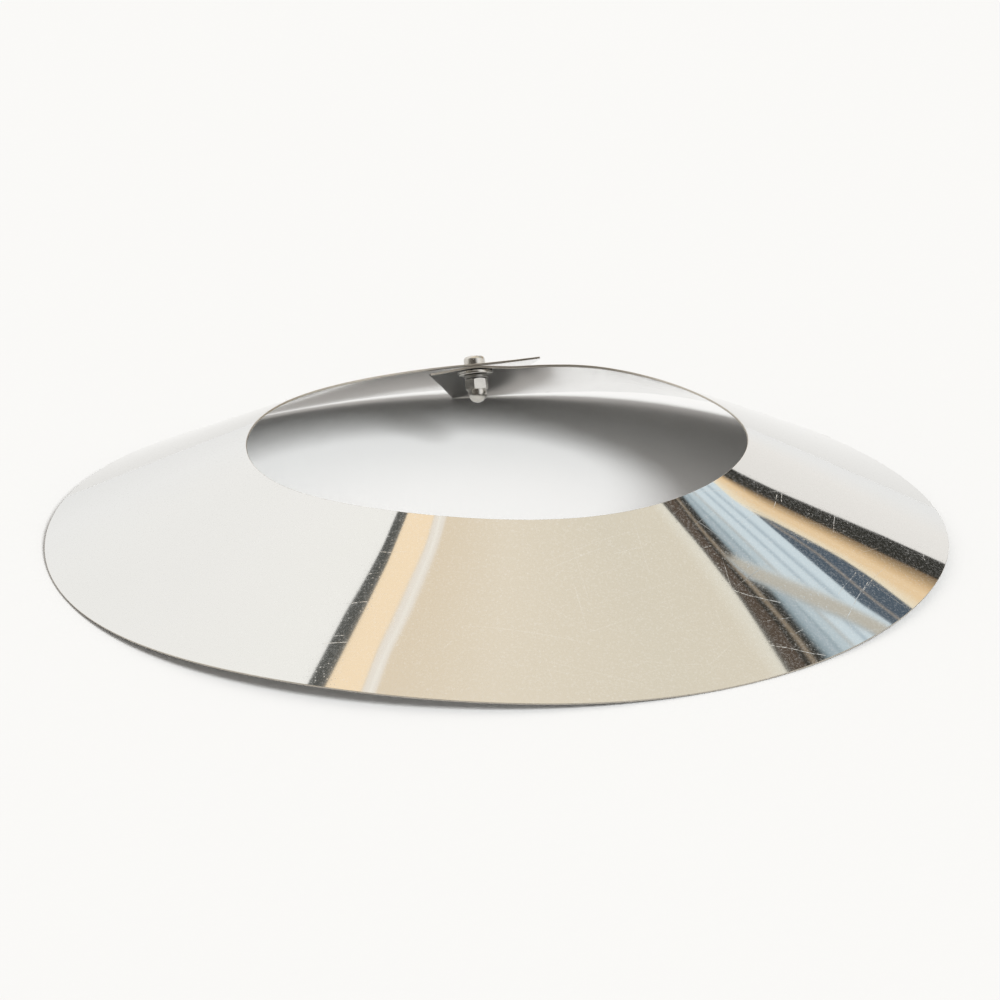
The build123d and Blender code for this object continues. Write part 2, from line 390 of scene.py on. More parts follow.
class Finish:
    """A material and the nodes that it is made of."""

    def __init__(self, name):
        self.material = bpy.data.materials.new(name)
        self.material.use_nodes = True
        self.tree = self.material.node_tree
        self.tree.nodes.clear()
        self.place = self.value(self.node("ShaderNodeTexCoord"), "Object")

    @staticmethod
    def socket(sockets, name):
        """A socket by its identifier, its label or its number."""
        by_identifier = {socket.identifier: socket for socket in sockets}
        return by_identifier[name] if name in by_identifier else sockets[name]

    def node(self, kind, settings=None, inputs=None):
        """Adds a node: its settings are set first, then its sockets get values or links."""
        made = self.tree.nodes.new(kind)
        for name, setting in (settings or {}).items():
            setattr(made, name, setting)
        for name, given in (inputs or {}).items():
            socket = self.socket(made.inputs, name)
            if isinstance(given, Value):
                self.tree.links.new(given.socket, socket)
            else:
                socket.default_value = given
        return made

    def value(self, node, output=0):
        """An output of a node, ready for maths."""
        return Value(self, self.socket(node.outputs, output))

    def vector(self, operation, first, second):
        """Vector maths on two vectors, or on a vector and the number that it is scaled by."""
        inputs = {0: first, "Scale" if operation == "SCALE" else 1: second}
        made = self.node("ShaderNodeVectorMath", {"operation": operation}, inputs)
        return self.value(made, "Value" if operation in ("DOT_PRODUCT", "DISTANCE") else "Vector")

    def noise(self, place, scale, detail=2.0, output=0):
        """Cloudy noise, with more fine detail for a higher detail."""
        made = self.node("ShaderNodeTexNoise", {}, {"Vector": place, "Scale": scale, "Detail": detail})
        return self.value(made, output)

    def cells(self, place, scale):
        """Distance to the nearest of the scattered cell centres, and a random value of that cell."""
        made = self.node("ShaderNodeTexVoronoi", {}, {"Vector": place, "Scale": scale})
        red = self.node("ShaderNodeSeparateColor", {}, {0: self.value(made, "Color")})
        return self.value(made, "Distance"), self.value(red)

    def spots(self, scale, edge, kept):
        """Small spots that fade out between two distances, in the cells whose random value is kept."""
        distance, pick = self.cells(self.place, scale)
        return distance.ramp(*edge) * pick.ramp(*kept)

    def moved(self, place, turn, scale, shift=(0.0, 0.0, 0.0)):
        """The place turned about Z, then stretched, then shifted."""
        turned = self.node(
            "ShaderNodeVectorRotate", {"rotation_type": "Z_AXIS"}, {"Vector": place, "Angle": turn})
        return self.vector("ADD", self.vector("MULTIPLY", self.value(turned), scale), shift)

    def wandering(self, place, scale, amount):
        """The place pushed about by a slow noise, so that lines drawn through it wander."""
        push = self.vector("SUBTRACT", self.noise(place, scale, 1.0, "Color"), (0.5, 0.5, 0.5))
        return self.vector("ADD", place, self.vector("SCALE", push, amount))

    def line(self, flat, start, end, width):
        """1 along a line between two points in millimetres, on a flattened place, and 0 off it."""
        start, end = (Vector((*point, 0.0)) / 1000 for point in (start, end))
        reach = end - start
        from_start = self.vector("SUBTRACT", flat, start)
        along = self.vector("DOT_PRODUCT", from_start, reach)
        share = along.maths("MULTIPLY", along, 1 / reach.length_squared, clamp=True)
        foot = self.vector("SCALE", reach, share)
        return self.vector("DISTANCE", from_start, foot).ramp(width, width * 0.3)

    def toned(self, factor, tint, low, high):
        """A tint times a share that goes from low to high with a factor."""
        made = self.node("ShaderNodeMix", {"data_type": "RGBA"}, {
            "Factor_Float": factor, "A_Color": shade(tint, low), "B_Color": shade(tint, high)})
        return self.value(made, "Result_Color")

    def bump(self, height, distance, below=None):
        """Shading normal of a height times a distance, over another normal if there is one."""
        inputs = {"Height": height, "Distance": distance, "Strength": 1.0}
        if below is not None:
            inputs["Normal"] = below
        return self.value(self.node("ShaderNodeBump", {}, inputs), "Normal")

    def surface(self, kind, inputs):
        """Ends the material in one shader."""
        shader = self.node(kind, {}, inputs)
        self.node("ShaderNodeOutputMaterial", {}, {"Surface": self.value(shader)})
        return self.material

    def metal(self, colour, roughness, normal, metallic=1.0):
        """Ends the material as metal."""
        return self.surface("ShaderNodeBsdfPrincipled", {
            "Base Color": colour, "Metallic": metallic, "Roughness": roughness, "Normal": normal})


def shade(colour, share=1.0):
    """A colour with full alpha, made darker or lighter by a share."""
    return tuple(part * share for part in colour) + (1.0,)


# Directions of the fine hairlines: turn, stretch along and across, and where the noise starts to show
HAIRLINES = (
    (0.05, 14.0, 1500.0, 0.70), (0.45, 22.0, 1700.0, 0.72), (-0.6, 20.0, 1900.0, 0.715),
    (1.35, 26.0, 1600.0, 0.72), (2.2, 24.0, 1800.0, 0.725),
)

# Scratches from handling: points seen from above, in millimetres, and how strong each is
HANDLING_SCRATCHES = (
    (((89.0, -46.4), (84.2, -58.0)), 0.8),
    (((91.8, -48.5), (86.0, -64.5)), 0.8),
    (((97.0, -37.6), (89.6, -54.7)), 0.5),
    (((70.2, -27.9), (69.1, -34.2)), 1.0),
    (((71.5, -26.2), (71.2, -30.3)), 1.0),
    (((84.8, -24.9), (84.1, -33.3)), 0.8),
    (((107.5, -21.3), (107.6, -25.2)), 1.0),
    (((57.7, -69.6), (61.9, -69.7), (65.8, -69.0), (69.3, -68.2)), 1.0),
    (((66.3, -83.1), (71.8, -82.0), (76.7, -81.4), (79.8, -80.6)), 1.0),
    (((49.7, -60.3), (52.8, -57.7)), 0.6),
    (((66.0, -75.8), (72.2, -71.9)), 0.6),
    (((61.6, -60.6), (62.5, -59.3)), 1.0),
    (((72.6, -76.9), (75.1, -74.2)), 0.6),
    (((-48.1, -83.1), (-34.2, -85.5)), 0.35),
    (((-34.2, -85.5), (-30.3, -85.8)), 1.0),
    (((-28.0, -71.3), (-24.9, -72.3)), 1.0),
    (((-24.9, -72.2), (-19.3, -73.2)), 0.35),
    (((-30.0, -77.7), (-27.9, -77.8)), 1.0),
    (((-40.6, -95.7), (-34.6, -96.7)), 0.9),
    (((-39.7, -93.9), (-35.6, -94.5)), 0.6),
    (((-11.8, -100.8), (-10.1, -99.1)), 0.9),
    (((28.2, -69.2), (34.3, -65.6)), 0.6),
    (((34.7, -98.1), (46.7, -96.5)), 0.4),
    (((39.0, -98.4), (49.1, -94.9)), 0.4),
    (((82.7, -28.4), (82.9, -28.5)), 1.5),
    (((86.8, -30.3), (87.0, -30.4)), 1.5),
)


def bright_sheet(settings):
    """Bright rolled stainless sheet: a mirror with faint rolling waves, specks and handling scratches.

    Where something has scratched the mirror it scatters light, which shows on dark reflections.
    """
    finish = Finish("bright_sheet")
    place = finish.place
    wander = finish.wandering(place, 18.0, 0.004)
    patches = finish.noise(place, 26.0, 3.0)
    fine = []
    for turn, along, across, start in HAIRLINES:
        aside = (turn * 7, turn * 3, 0.0)
        strokes = finish.noise(finish.moved(wander, turn, (along, across, 0.0), aside), 1.0, 1.0)
        fine.append(strokes.ramp(start, start + 0.05))
    hairlines = reduce(Value.__or__, fine) * patches.ramp(0.42, 0.62)
    clusters = finish.noise(place, 75.0).ramp(0.30, 0.62)
    specks = finish.spots(1100.0, edge=(0.32, 0.12), kept=(0.30, 0.90)) * clusters
    grain = finish.noise(place, 1700.0).ramp(0.46, 0.74)
    worn = finish.noise(place, 900.0).ramp(0.30, 0.62)
    flat = finish.vector("MULTIPLY", finish.wandering(place, 90.0, 0.0009), (1.0, 1.0, 0.0))
    handled = reduce(Value.__or__, [
        finish.line(flat, start, end, settings.scratch_width) * strength
        for points, strength in HANDLING_SCRATCHES for start, end in zip(points, points[1:])])
    scratches = hairlines * settings.hairlines | handled * worn * settings.scratches
    rubbed = scratches | specks * settings.specks
    haze = finish.noise(place, 60.0, 4.0)
    roughness = settings.roughness + haze * 0.02 + rubbed * 0.3
    metallic = 1.0 - rubbed * 0.5 - grain * 0.12
    normal = finish.bump(finish.noise(place, 20.0, 1.0), settings.wave_height)
    colour = finish.toned(patches, settings.tint, 0.985, 1.01)
    return finish.metal(colour, roughness, normal, metallic)


def sheared_edge(settings):
    """Raw sheared edge of the sheet: fine lines across it, duller and browner than the skins."""
    finish = Finish("sheared_edge")
    grain = finish.noise(finish.moved(finish.place, 0.0, (1.0, 1.0, 3.0)), 1400.0, 3.0)
    roughness = 0.28 + finish.noise(finish.place, 160.0, 3.0) * 0.2
    colour = finish.toned(grain, settings.edge_tint, 0.7, 1.25)
    return finish.metal(colour, roughness, finish.bump(grain, 0.000004))


def plated_steel(settings):
    """Bright plating over machined steel: faint turning rings, rubs and pits."""
    finish = Finish("plated_steel")
    rubs = finish.noise(finish.moved(finish.place, 0.8, (1.0, 6.0, 2.0)), 900.0, 4.0)
    blotches = finish.noise(finish.place, 420.0, 3.0)
    pits = finish.spots(2600.0, edge=(0.3, 0.12), kept=(0.6, 0.8))
    roughness = settings.plate_roughness + rubs * 0.12 + pits * 0.25
    normal = finish.bump(pits, -0.000004, finish.bump(rubs, 0.0000045))
    colour = finish.toned(blotches, settings.plate_tint, 0.82, 1.12)
    return finish.metal(colour, roughness, normal)


def spring_steel(settings):
    """Plain spring steel wire, duller than the plating, with drawing lines."""
    finish = Finish("spring_steel")
    scale = finish.noise(finish.place, 700.0, 5.0)
    colour = finish.toned(finish.noise(finish.place, 260.0), settings.spring_tint, 0.75, 1.2)
    roughness = settings.spring_roughness + scale * 0.16
    return finish.metal(colour, roughness, finish.bump(scale, 0.000006))


def add_piece(name, mesh, materials, node):
    """Puts a finished mesh in the scene as the piece that stands for a CAD node."""
    piece = bpy.data.objects.new(name, mesh)
    for material in materials:
        mesh.materials.append(material)
    bpy.context.scene.collection.objects.link(piece)
    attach(piece, "root")
    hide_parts(node)


def mesh_from(work, name="form", facing_out=True):
    """The mesh that mesh work makes, its faces turned outwards where they enclose something."""
    if facing_out:
        bmesh.ops.recalc_face_normals(work, faces=work.faces)
    mesh = bpy.data.meshes.new(name)
    work.to_mesh(mesh)
    work.free()
    return mesh


def joined(work, first, second):
    """Faces all the way round between two rings of vertices."""
    return [work.faces.new((first[index - 1], second[index - 1], second[index], first[index]))
            for index in range(len(first))]


def around(radius, turn, height=0.0):
    """The point at a radius and a turn about the axis."""
    return radius * cos(turn), radius * sin(turn), height


def quarter(steps):
    """Angles through a quarter turn."""
    return [pi / 2 * step / steps for step in range(steps + 1)]


def rounded(corner, across, up, steps, from_side=False):
    """A profile's rounded corner, drawn from its flat end or from its side; its radii are signed."""
    points = []
    for lean in quarter(steps):
        flat, side = 1 - sin(lean), 1 - cos(lean)
        if from_side:
            flat, side = side, flat
        points.append((corner[0] + across * flat, corner[1] + up * side))
    return points


# Steps in each rounded edge of the sheet
EDGE_STEPS = 3

# How far the inner skin's shading leans towards the wide rim, in degrees, by azimuth in degrees: the
# springy sheet is flatter there than its straight lines make it
INNER_BEND = (
    (-180, 0.0), (-12, 0.0), (12, 2.6), (35, 3.4), (72, 3.4), (84, 2.8), (100, 1.5), (130, 0.9),
    (165, 0.0),
)


def inner_bend(azimuth):
    """Lean of the inner skin's shading at an azimuth, eased between the places where it is known."""
    before, after, part = between(INNER_BEND, (degrees(azimuth) + 180) % 360 - 180)
    return radians(before + (after - before) * RolledSheet.eased(part))


def sheet_loop(sheet, place, rows):
    """Once round the section at a place: a reach, a depth, and how far the normal leans to the rim."""
    thick, rounding = sheet.sizes.thickness, sheet.sizes.edge_round
    near, far = sheet.hole_reach, sheet.far_reach(place)
    run = sheet.places(near + rounding, far - rounding, (far - near - 2 * rounding) / rows)
    rounds = [(rounding * (1 - sin(lean)), rounding * (1 - cos(lean)), lean)
              for lean in quarter(EDGE_STEPS)[1:]]
    loop = [(reach, 0.0, 0.0) for reach in run]
    loop += [(far - along, down, lean) for along, down, lean in rounds]
    loop += [(far - along, thick - down, pi - lean) for along, down, lean in reversed(rounds)]
    loop += [(reach, thick, pi) for reach in reversed(run)]
    loop += [(near + along, thick - down, pi + lean) for along, down, lean in rounds]
    loop += [(near + along, down, -lean) for along, down, lean in reversed(rounds)]
    return loop


def formed(work, at, facing):
    """A vertex that keeps the way the surface faces there, for the smooth shading."""
    vertex = work.verts.new(at)
    vertex[work.verts.layers.float_vector["facing"]] = facing
    return vertex


def skin_hole(work, sheet, place, depth, way):
    """Opens the screw hole in one skin of one lap, and gives the points round it."""
    radius = sheet.sizes.screw_hole / 2
    cleared, same_skin = 1.4 * radius, 0.0002
    middle = sheet.point(place, sheet.screw_reach, depth)
    axis = sheet.normal(place, sheet.screw_reach) * way
    near = []
    for face in work.faces:
        apart = face.calc_center_median() - middle
        if apart.length < cleared and abs(apart.dot(axis)) < same_skin:
            near.append(face)
    edges = dict.fromkeys(edge for face in near for edge in face.edges)
    bmesh.ops.delete(work, geom=near, context="FACES_KEEP_BOUNDARY")
    edges = [edge for edge in edges if edge.is_valid and edge.is_boundary]
    circle = []
    for turn in sheet.places(0, 2 * pi, radians(10))[:-1]:
        aside = radius * cos(turn) / (sheet.screw_reach * cos(sheet.slope))
        reach = sheet.screw_reach + radius * sin(turn)
        circle.append(formed(work, sheet.point(place + aside, reach, depth), axis))
    ring = [work.edges.new((circle[index - 1], circle[index])) for index in range(len(circle))]
    filled = bmesh.ops.triangle_fill(work, use_beauty=True, edges=edges + ring, normal=axis)
    for face in filled["geom"]:
        if isinstance(face, bmesh.types.BMFace):
            face.smooth = True
            if face.normal.dot(axis) < 0:
                face.normal_flip()
    return [vertex.co.copy() for vertex in circle]


def raw_faces(faces, smooth=False):
    """Gives faces the finish of the sheared edge."""
    for face in faces:
        face.material_index = 1
        face.smooth = smooth


def sheet_mesh(sheet, rows=34):
    """The whole rolled sheet with rounded edges, its skins lying exactly where the solid has them."""
    work = bmesh.new()
    work.verts.layers.float_vector.new("facing")
    tip, fine_step, step = sheet.cut_turn / cos(sheet.slope), radians(0.5), radians(1)
    places = sheet.places(0, tip, fine_step)[:-1]
    places += sheet.places(tip, sheet.turn - tip, step)[:-1]
    places += sheet.places(sheet.turn - tip, sheet.turn, fine_step)
    columns = []
    for place in places:
        column = []
        down = sheet.line(place)[1]
        bend = inner_bend(sheet.sizes.start_azimuth - place)
        for reach, depth, lean in sheet_loop(sheet, place, rows):
            if lean == pi:
                lean -= bend
            facing = sheet.normal(place, reach) * cos(lean) + down * sin(lean)
            column.append(formed(work, sheet.point(place, reach, depth), facing))
        columns.append(column)
    inner_skin = rows + 2 * EDGE_STEPS
    for before, after in zip(columns, columns[1:]):
        for index, face in enumerate(joined(work, after, before)):
            face.smooth = True
            skin = 0 < index <= rows or inner_skin < index <= inner_skin + rows
            face.material_index = 0 if skin else 1
    for column, place, way in ((columns[0], places[0], 1), (columns[-1], places[-1], -1)):
        facing = sheet.normal(place, sheet.hole_reach).cross(sheet.line(place)[1]) * way
        raw_faces([work.faces.new([formed(work, vertex.co, facing) for vertex in column][::way])])
    for place in (sheet.sizes.screw_place, sheet.sizes.screw_place + 2 * pi):
        upper = skin_hole(work, sheet, place, 0.0, 1)
        lower = skin_hole(work, sheet, place, sheet.sizes.thickness, -1)
        middle = sum(upper, Vector()) / len(upper)
        inwards = [(middle - over).normalized() for over in upper]
        walls = [[formed(work, at, facing) for at, facing in zip(circle, inwards)]
                 for circle in (upper, lower)]
        raw_faces(joined(work, *walls), smooth=True)
    mesh = mesh_from(work, "rosette_skin")
    facings = mesh.attributes["facing"]
    mesh.normals_split_custom_set_from_vertices([entry.vector.normalized() for entry in facings.data])
    mesh.attributes.remove(mesh.attributes["facing"])  # looked up again: setting the normals moves it
    return mesh


def turned(profile, steps=72):
    """A mesh turned from a profile of radii and heights; one that starts off the axis is closed."""
    work = bmesh.new()
    rings = []
    for radius, height in profile:
        turns = [2 * pi * step / steps for step in range(steps if radius > 0 else 1)]
        rings.append([work.verts.new(around(radius, turn, height)) for turn in turns])
    if profile[0][0] > 0:
        rings.append(rings[0])
    for first, second in zip(rings, rings[1:]):
        for step in range(steps):
            here = [first[step % len(first)], first[(step + 1) % len(first)],
                    second[(step + 1) % len(second)], second[step % len(second)]]
            work.faces.new(list(dict.fromkeys(here)))
    return mesh_from(work)


def prism(outline, low, high, taper=0.0):
    """A mesh with an outline of corners at its high end, drawn in towards its low end."""
    work = bmesh.new()
    inner = [(x - taper * (1 if x > 0 else -1), y - taper * (1 if y > 0 else -1)) for x, y in outline]
    top = [work.verts.new((x, y, high)) for x, y in outline]
    bottom = [work.verts.new((x, y, low)) for x, y in inner]
    work.faces.new(top)
    work.faces.new(list(reversed(bottom)))
    joined(work, top, bottom)
    return mesh_from(work)


def combined(operation, tool):
    """Settings of an exact cut, join or overlap with another mesh."""
    return "BOOLEAN", {"operation": operation, "solver": "EXACT"}, tool


def bevelled(width, least):
    """Settings of a small bevel wherever faces meet at the least angle, in degrees, or more."""
    limits = {"limit_method": "ANGLE", "angle_limit": radians(least)}
    return "BEVEL", {"width": width, "segments": 2, **limits}, None


def settled(mesh, modifiers):
    """A mesh with modifiers applied; each is a kind, its settings, and a second mesh or nothing."""
    body = bpy.data.objects.new(mesh.name, mesh)
    bpy.context.scene.collection.objects.link(body)
    spares = [body]
    for kind, settings, tool_mesh in modifiers:
        modifier = body.modifiers.new(kind, kind)
        for setting, value in settings.items():
            setattr(modifier, setting, value)
        if tool_mesh is not None:
            modifier.object = bpy.data.objects.new(tool_mesh.name, tool_mesh)
            bpy.context.scene.collection.objects.link(modifier.object)
            spares.append(modifier.object)
    made = bpy.data.meshes.new_from_object(body.evaluated_get(bpy.context.evaluated_depsgraph_get()))
    for spare in spares:
        old = spare.data
        bpy.data.objects.remove(spare)
        bpy.data.meshes.remove(old)
    return made


def smoothed(mesh, name, crease=32):
    """Smooth shading, with creases where faces meet at more than an angle in degrees."""
    mesh.name = name
    mesh.shade_smooth()
    mesh.set_sharp_from_angle(angle=radians(crease))
    return mesh


# The thread, as shares of its pitch: its depth, its crest and flanks, and the run that it starts in
THREAD_DEPTH, THREAD_CREST, THREAD_FLANK, THREAD_START = 0.6134, 0.125, 0.625, 1.5
# Bevel of the screw's end, in metres
THREAD_END = 0.0004


def thread_radius(sizes, below, turn):
    """Radius of the screw at a depth below the head and a share of a turn."""
    pitch, shank = sizes.thread_pitch, sizes.screw_diameter / 2
    phase = (below / pitch + turn) % 1.0
    groove = clamped((abs(phase - 0.5) * 2 - THREAD_CREST) / THREAD_FLANK)
    radius = shank - THREAD_DEPTH * pitch * groove * clamped(below / (THREAD_START * pitch))
    return min(radius, shank - THREAD_END * max(0.0, 1 - (sizes.screw_length - below) / THREAD_END))


def screw_mesh(sizes):
    """Pan-head screw with a cross recess and a rolled thread, its seat on z = 0."""
    head, rounding, fillet = sizes.head_diameter / 2, sizes.head_round, 0.00012
    profile = [(0.0, sizes.head_height)]
    profile += rounded((head, sizes.head_height), -rounding, -rounding, steps=7)
    profile += rounded((head, 0.0), -fillet, fillet, steps=3, from_side=True)
    profile += [(sizes.screw_diameter / 2, 0.0), (0.0, 0.0)]
    play, draft, proud = 1.02, 12, 0.0001
    width, span = sizes.recess_width / 2 * play, sizes.recess_span / 2 * play
    cross = []
    for x, y in ((1, 0), (0, 1), (-1, 0), (0, -1)):  # an arm's two ends, and the corner after it
        cross.append((x * span + y * width, y * span - x * width))
        cross.append((x * span - y * width, y * span + x * width))
        cross.append(((x - y) * width, (x + y) * width))
    floor = sizes.head_height - sizes.recess_depth
    taper = sizes.recess_depth * tan(radians(draft))
    cutter = prism(cross, floor, sizes.head_height + proud, taper)
    head_made = settled(turned(profile), [combined("DIFFERENCE", cutter), bevelled(0.00006, 40)])
    work = bmesh.new()
    work.from_mesh(head_made)
    bpy.data.meshes.remove(head_made)
    steps, per_turn = 48, 10
    rows = round(sizes.screw_length / sizes.thread_pitch * per_turn)
    rings = []
    for row in range(rows + 1):
        below = sizes.screw_length * row / rows
        ring = [around(thread_radius(sizes, below, step / steps), 2 * pi * step / steps, -below)
                for step in range(steps)]
        rings.append([work.verts.new(point) for point in ring])
    for first, second in zip(rings, rings[1:]):
        joined(work, first, second)
    work.faces.new(list(reversed(rings[-1])))
    work.faces.new(rings[0])
    return smoothed(mesh_from(work), "lap_screw_dressed", crease=40)


def flat_washer_mesh(sizes):
    """Stamped flat washer, its upper face on z = 0: one side rolled over, the other sharp."""
    outer, inner, thick = sizes.washer_diameter / 2, sizes.washer_hole / 2, sizes.washer_thickness
    rolled, sharp = 0.00018, 0.00004
    profile = rounded((outer, -thick), -rolled, rolled, steps=4)
    profile += rounded((outer, 0.0), -sharp, -sharp, steps=2, from_side=True)
    profile += rounded((inner, 0.0), sharp, -sharp, steps=2)
    profile += rounded((inner, -thick), rolled, rolled, steps=4, from_side=True)
    return smoothed(turned(profile, steps=96), "flat_washer_dressed")


def spring_washer_mesh(sizes):
    """Split washer, one open coil of square wire with softened corners, its highest corner on z = 0."""
    inner, outer, thick = sizes.spring_hole / 2, sizes.spring_diameter / 2, sizes.spring_thickness
    soft, corner_steps, coil_steps = 0.0001, 3, 60
    wire = rounded((outer, 0.0), -soft, -soft, corner_steps)
    wire += rounded((outer, -thick), -soft, soft, corner_steps, from_side=True)
    wire += rounded((inner, -thick), soft, soft, corner_steps)
    wire += rounded((inner, 0.0), soft, -soft, corner_steps, from_side=True)
    work = bmesh.new()
    sections = []
    for step in range(coil_steps + 1):
        bearing = sizes.spring_slit + (2 * pi - sizes.spring_slit) * step / coil_steps
        lower = (thick - sizes.spring_height) * step / coil_steps
        section = [around(radius, bearing, height + lower) for radius, height in wire]
        sections.append([work.verts.new(point) for point in section])
    for first, second in zip(sections, sections[1:]):
        joined(work, first, second)
    work.faces.new(sections[0])
    work.faces.new(list(reversed(sections[-1])))
    return smoothed(mesh_from(work), "spring_washer_dressed", crease=40)


def cap_nut_mesh(sizes):
    """Hexagon cap nut, its bearing face on z = 0 and its dome downwards."""
    flat, dome, high, hex_high = (
        sizes.nut_across_flats / 2, sizes.nut_dome / 2, sizes.nut_height, sizes.nut_hex_height)
    clearance, proud, buried = 0.00005, 0.0002, 0.0006
    corner = flat / cos(pi / 6)
    outside = corner + 0.00001
    bevel = (corner - flat) * tan(sizes.nut_bevel)
    blank = [(0.0, 0.0), (flat, 0.0), (outside, -bevel), (outside, bevel - hex_high), (flat, -hex_high),
             (0.0, -hex_high)]
    corners = [around(corner, sizes.nut_turn + pi / 3 * side + pi / 6)[:2] for side in range(6)]
    cap = [(0.0, -buried), (dome, -buried), (dome, dome - high)]
    cap += [(dome * cos(lean), dome - high - dome * sin(lean)) for lean in quarter(12)[1:-1]]
    cap += [(0.0, -high)]
    bore, drill_point = sizes.screw_diameter / 2 + clearance, radians(59)
    hollow = [(0.0, 0.001), (bore, 0.001), (bore, -sizes.nut_bore),
              (0.0, -sizes.nut_bore - bore / tan(drill_point))]
    made = settled(turned(blank, steps=96), [
        combined("INTERSECT", prism(corners, -hex_high - proud, proud)),
        bevelled(0.00007, 22),
        combined("UNION", turned(cap, steps=64)),
        combined("DIFFERENCE", turned(hollow, steps=48)),
    ])
    return smoothed(made, "cap_nut_dressed", crease=30)


# Radiances of the bright room's parts, by name
ROOM_COLOURS = {
    "white": (1.22, 1.21, 1.17),
    "high_cloth": (1.20, 1.19, 1.165),
    "mid_cloth": (1.16, 1.155, 1.135),
    "low_cloth": (1.11, 1.11, 1.10),
    "hem": (1.02, 1.02, 1.01),
    "horizon": (0.985, 0.985, 0.98),
    "right_cloth": (1.065, 1.04, 1.005),
    "dim": (0.11, 0.10, 0.09),
    "dusk": (0.26, 0.245, 0.22),
    "window": (1.15, 1.17, 1.20),
    "dark": (0.130, 0.132, 0.122),
    "smoke": (0.250, 0.245, 0.225),
    "peach": (1.29, 1.04, 0.73),
    "pale": (1.25, 1.21, 1.11),
    "chalk": (1.13, 1.06, 0.96),
    "cream": (1.03, 0.88, 0.67),
    "sand": (1.06, 0.95, 0.77),
    "stone": (0.97, 0.89, 0.73),
    "mist": (1.07, 1.03, 0.90),
    "brown": (0.130, 0.098, 0.074),
    "tan": (0.42, 0.34, 0.25),
    "black": (0.045, 0.044, 0.038),
    "sky": (0.85, 0.98, 1.05),
    "far_sky": (0.68, 0.80, 0.86),
    "dull_sky": (0.55, 0.65, 0.71),
    "slate": (0.40, 0.50, 0.55),
    "bar": (0.53, 0.64, 0.72),
    "rosy_bar": (0.64, 0.67, 0.66),
    "haze": (0.69, 0.65, 0.56),
    "navy": (0.105, 0.142, 0.185),
    "seam": (0.42, 0.37, 0.32),
    "apricot": (1.10, 0.82, 0.50),
    "amber": (0.87, 0.61, 0.34),
    "copper": (0.52, 0.37, 0.21),
    "umber": (0.25, 0.17, 0.10),
    "ivory": (1.17, 1.06, 0.82),
}

# Edges of the cards, each where the sheet shows it: shares of the way from the hole's rim to the
# wide rim, and azimuths in degrees there
ROOM_EDGES = {
    "frame_left": ((0, -111.3), (0.2, -111.0), (0.42, -111.4), (0.6, -112.0), (1, -112.3)),
    "frame_right": ((0, -108.9), (0.3, -108.8), (0.63, -109.5), (1, -110.1)),
    "peach_end": (
        (0, -103.1), (0.16, -103.0), (0.37, -104.0), (0.55, -104.8), (0.75, -105.5), (1, -105.7)),
    "pale_peak": (
        (0, -101.7), (0.16, -101.6), (0.42, -102.8), (0.63, -103.6), (0.83, -104.4), (1, -104.6)),
    "cream_start": (
        (0, -100.1), (0.16, -100.3), (0.43, -101.7), (0.64, -102.8), (0.78, -103.5), (1, -103.8)),
    "sand_line": ((0, -87.9), (1, -89.9)),
    "stone_line": ((0, -66.1), (1, -68.3)),
    "mist_line": ((0, -53.2), (1, -55.0)),
    "brown_start": ((0, -50.2), (0.28, -49.8), (0.57, -50.4), (1, -51.9)),
    "brown_end": ((0, -46.5), (0.19, -47.5), (0.41, -47.8), (0.76, -48.1), (1, -48.9)),
    "tan_start": ((0, -46.1), (0.19, -47.0), (0.41, -47.2), (0.76, -47.3), (1, -48.1)),
    "tan_end": ((0, -45.2), (0.19, -46.1), (0.55, -46.0), (0.88, -46.5), (1, -47.0)),
    "sky_start": (
        (0, -44.0), (0.17, -44.8), (0.32, -45.1), (0.44, -45.1), (0.56, -44.6), (0.82, -45.7),
        (1, -46.0)),
    "sky_full": (
        (0, -42.9), (0.17, -43.7), (0.44, -43.5), (0.56, -42.7), (0.82, -43.5), (1, -43.8)),
    "streak_1": ((0, -42.3), (0.6, -42.4), (1, -42.8)),
    "streak_2": ((0, -40.2), (1, -40.5)),
    "streak_3": ((0, -37.5), (1, -37.9)),
    "streak_4": ((0, -35.1), (1, -35.5)),
    "sky_end": ((0, -32.6), (0.12, -33.2), (0.22, -32.1), (0.51, -32.5), (0.85, -32.9), (1, -32.1)),
    "navy_peak": (
        (0.22, -32.0), (0.29, -30.5), (0.39, -29.2), (0.52, -27.6), (0.65, -26.6), (0.79, -26.2),
        (1, -26.5)),
    "navy_line": (
        (0.22, -32.0), (0.43, -30.4), (0.55, -29.8), (0.71, -30.1), (0.84, -30.4), (1, -30.3)),
    "peach_low": (
        (0, -32.6), (0.12, -33.2), (0.22, -32.0), (0.29, -30.5), (0.39, -29.2), (0.52, -27.6),
        (0.65, -26.6), (0.79, -26.2), (1, -26.5)),
    "ivory_line": (
        (0, -30.2), (0.22, -29.3), (0.39, -27.1), (0.52, -25.7), (0.65, -24.7), (1, -23.5)),
    "black_low": (
        (0, -28.1), (0.13, -26.2), (0.23, -24.6), (0.37, -22.8), (0.52, -20.9), (0.68, -19.2),
        (0.84, -17.6), (1, -16.4)),
    "black_top": (
        (0, -23.4), (0.18, -20.7), (0.35, -18.0), (0.53, -15.4), (0.7, -13.3), (0.89, -11.7),
        (1, -10.9)),
    "haze_top": (
        (0.36, -45.6), (0.48, -42.3), (0.58, -39.8), (0.69, -37.1), (0.81, -35.2), (0.92, -33.9),
        (1, -33.1)),
    "haze_low": (
        (0.36, -46.2), (0.51, -45.6), (0.57, -43.9), (0.67, -41.9), (0.77, -39.7), (0.84, -38.1),
        (0.93, -36.5), (1, -35.7)),
}

